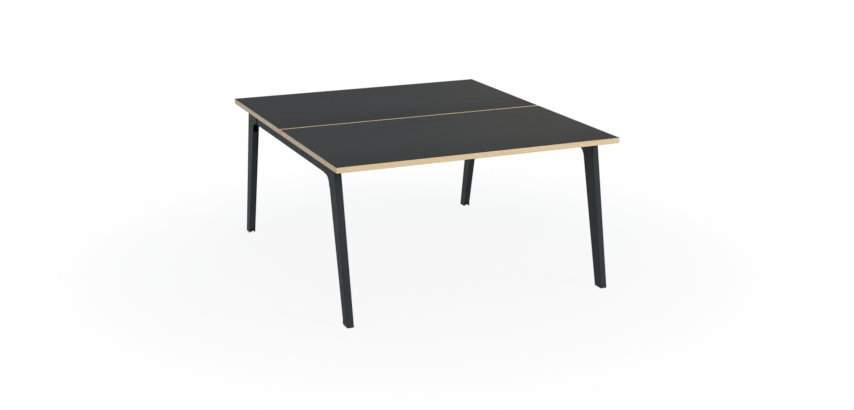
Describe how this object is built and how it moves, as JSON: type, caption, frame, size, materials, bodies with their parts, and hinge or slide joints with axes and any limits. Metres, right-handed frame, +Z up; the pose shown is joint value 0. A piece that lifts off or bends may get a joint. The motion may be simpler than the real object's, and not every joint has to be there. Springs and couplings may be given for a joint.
{
  "type": "benching desk",
  "caption": "Rectangular bench desk for two facing people: plywood tops with dark laminate and a narrow gap, on splayed folded steel end frames with levelling feet.",
  "frame": {"origin": "on the floor under the middle of the desk", "axes": "+X along the gap between the tops, +Y from the front top to the rear top, +Z up"},
  "size_m": [1.4, 1.6, 0.74],
  "materials": {
    "black_laminate": "matt",
    "birch_plywood": "clear lacquer on the sanded edge",
    "powder_coat": "fine satin powder coat",
    "zinc_plate": "bright zinc plate",
    "black_zinc": "black passivated zinc plate",
    "black_nylon": "moulded matt"
  },
  "bodies": {
    "desk_frame": {"beam_bolt_front_left_inner": "zinc_plate", "beam_bolt_front_left_outer": "zinc_plate", "beam_bolt_front_right_inner": "zinc_plate", "beam_bolt_front_right_outer": "zinc_plate", "beam_bolt_rear_left_inner": "zinc_plate", "beam_bolt_rear_left_outer": "zinc_plate", "beam_bolt_rear_right_inner": "zinc_plate", "beam_bolt_rear_right_outer": "zinc_plate", "beam_bracket_front_left": "powder_coat", "beam_bracket_front_right": "powder_coat", "beam_bracket_rear_left": "powder_coat", "beam_bracket_rear_right": "powder_coat", "beam_front": "powder_coat", "beam_rear": "powder_coat", "end_rail_left": "powder_coat", "end_rail_right": "powder_coat", "foot_plate_front_left": "powder_coat", "foot_plate_front_right": "powder_coat", "foot_plate_rear_left": "powder_coat", "foot_plate_rear_right": "powder_coat", "knee_bolt_front_left_inner": "zinc_plate", "knee_bolt_front_left_outer": "zinc_plate", "knee_bolt_front_right_inner": "zinc_plate", "knee_bolt_front_right_outer": "zinc_plate", "knee_bolt_rear_left_inner": "zinc_plate", "knee_bolt_rear_left_outer": "zinc_plate", "knee_bolt_rear_right_inner": "zinc_plate", "knee_bolt_rear_right_outer": "zinc_plate", "knee_nut_plate_front_left": "zinc_plate", "knee_nut_plate_front_right": "zinc_plate", "knee_nut_plate_rear_left": "zinc_plate", "knee_nut_plate_rear_right": "zinc_plate", "leg_front_left": "powder_coat", "leg_front_right": "powder_coat", "leg_rear_left": "powder_coat", "leg_rear_right": "powder_coat", "top_backer_front": "black_laminate", "top_backer_rear": "black_laminate", "top_core_front": "birch_plywood", "top_core_rear": "birch_plywood", "top_laminate_front": "black_laminate", "top_laminate_rear": "black_laminate", "top_screw_front_left_inner": "zinc_plate", "top_screw_front_left_outer": "zinc_plate", "top_screw_front_right_inner": "zinc_plate", "top_screw_front_right_outer": "zinc_plate", "top_screw_rear_left_inner": "zinc_plate", "top_screw_rear_left_outer": "zinc_plate", "top_screw_rear_right_inner": "zinc_plate", "top_screw_rear_right_outer": "zinc_plate"},
    "glide_front_left": {"glide_pad_front_left": "black_nylon"},
    "stud_front_left": {"foot_stud_front_left": "black_zinc"},
    "glide_front_right": {"glide_pad_front_right": "black_nylon"},
    "stud_front_right": {"foot_stud_front_right": "black_zinc"},
    "glide_rear_left": {"glide_pad_rear_left": "black_nylon"},
    "stud_rear_left": {"foot_stud_rear_left": "black_zinc"},
    "glide_rear_right": {"glide_pad_rear_right": "black_nylon"},
    "stud_rear_right": {"foot_stud_rear_right": "black_zinc"}
  },
  "joints": [
    {"name": "foot_travel_front_left", "type": "slide", "parent": "desk_frame", "child": "glide_front_left", "axis": [0, 0, -1], "range_m": [0, 0.015]},
    {"name": "foot_turn_front_left", "type": "hinge", "parent": "glide_front_left", "child": "stud_front_left", "pos_m": [-0.6475, -0.77506, 0.0073], "axis": [0, 0, -1], "range_deg": [0, 4320]},
    {"name": "foot_travel_front_right", "type": "slide", "parent": "desk_frame", "child": "glide_front_right", "axis": [0, 0, -1], "range_m": [0, 0.015]},
    {"name": "foot_turn_front_right", "type": "hinge", "parent": "glide_front_right", "child": "stud_front_right", "pos_m": [0.6475, -0.77506, 0.0073], "axis": [0, 0, -1], "range_deg": [0, 4320]},
    {"name": "foot_travel_rear_left", "type": "slide", "parent": "desk_frame", "child": "glide_rear_left", "axis": [0, 0, -1], "range_m": [0, 0.015]},
    {"name": "foot_turn_rear_left", "type": "hinge", "parent": "glide_rear_left", "child": "stud_rear_left", "pos_m": [-0.6475, 0.77506, 0.0073], "axis": [0, 0, -1], "range_deg": [0, 4320]},
    {"name": "foot_travel_rear_right", "type": "slide", "parent": "desk_frame", "child": "glide_rear_right", "axis": [0, 0, -1], "range_m": [0, 0.015]},
    {"name": "foot_turn_rear_right", "type": "hinge", "parent": "glide_rear_right", "child": "stud_rear_right", "pos_m": [0.6475, 0.77506, 0.0073], "axis": [0, 0, -1], "range_deg": [0, 4320]}
  ],
  "couplings": [
    {"joint": "foot_turn_front_left", "follows": "foot_travel_front_left", "rad_per_m": 5026.5},
    {"joint": "foot_turn_front_right", "follows": "foot_travel_front_right", "rad_per_m": 5026.5},
    {"joint": "foot_turn_rear_left", "follows": "foot_travel_rear_left", "rad_per_m": 5026.5},
    {"joint": "foot_turn_rear_right", "follows": "foot_travel_rear_right", "rad_per_m": 5026.5}
  ]
}
